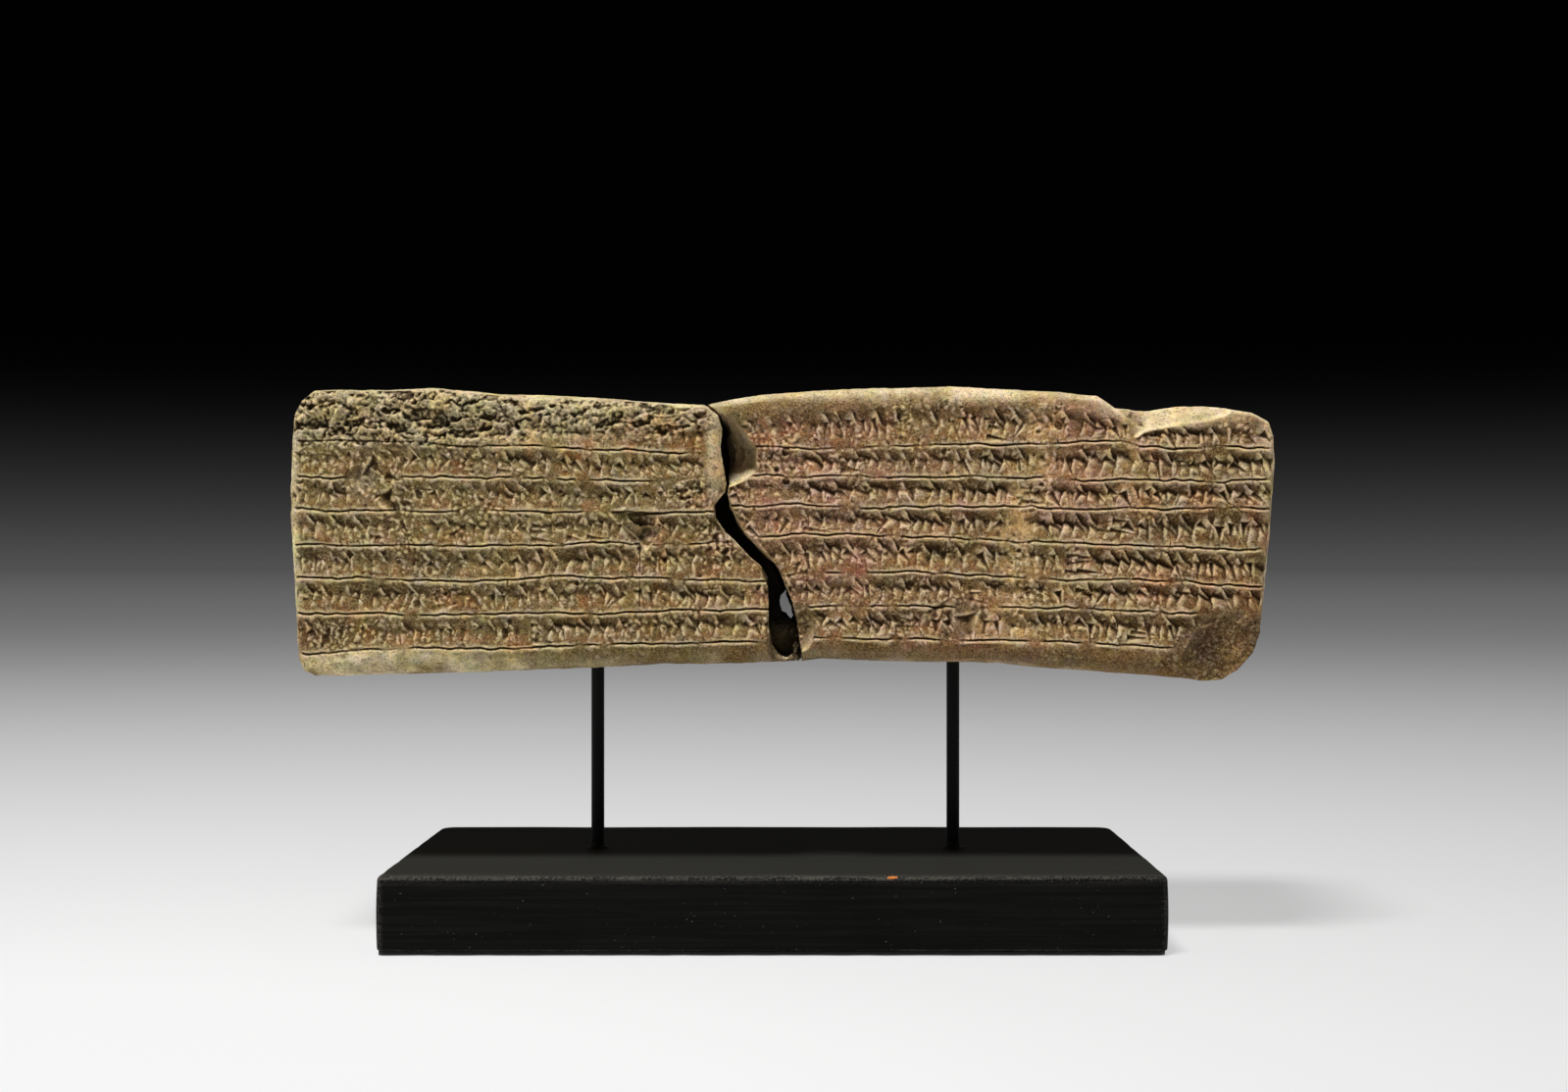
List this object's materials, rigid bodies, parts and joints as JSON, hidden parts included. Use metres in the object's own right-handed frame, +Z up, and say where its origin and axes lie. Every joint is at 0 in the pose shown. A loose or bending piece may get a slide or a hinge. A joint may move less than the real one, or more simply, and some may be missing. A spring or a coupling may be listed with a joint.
{
  "type": "inscribed brick",
  "caption": "Long fired-clay brick with ruled rows of wedge strokes on its narrow face, broken in two, held by steel rods on a black wooden block.",
  "frame": {"origin": "on the surface that the block stands on, under the middle of the whole part", "axes": "+X along the brick to the reader's right, -Y out of the ruled face, +Z up"},
  "size_m": [0.3606, 0.157, 0.2033],
  "materials": {
    "fired_clay": "matt, weathered buff clay with dust and patina",
    "black_steel": "satin black",
    "black_painted_wood": "matt black paint, rubbed grey along the edges",
    "felt": "thin dark felt"
  },
  "bodies": {
    "root": {"brick_left": "fired_clay", "brick_right": "fired_clay", "rod_left": "black_steel", "rod_right": "black_steel", "base_block": "black_painted_wood", "base_felt": "felt"}
  },
  "joints": []
}
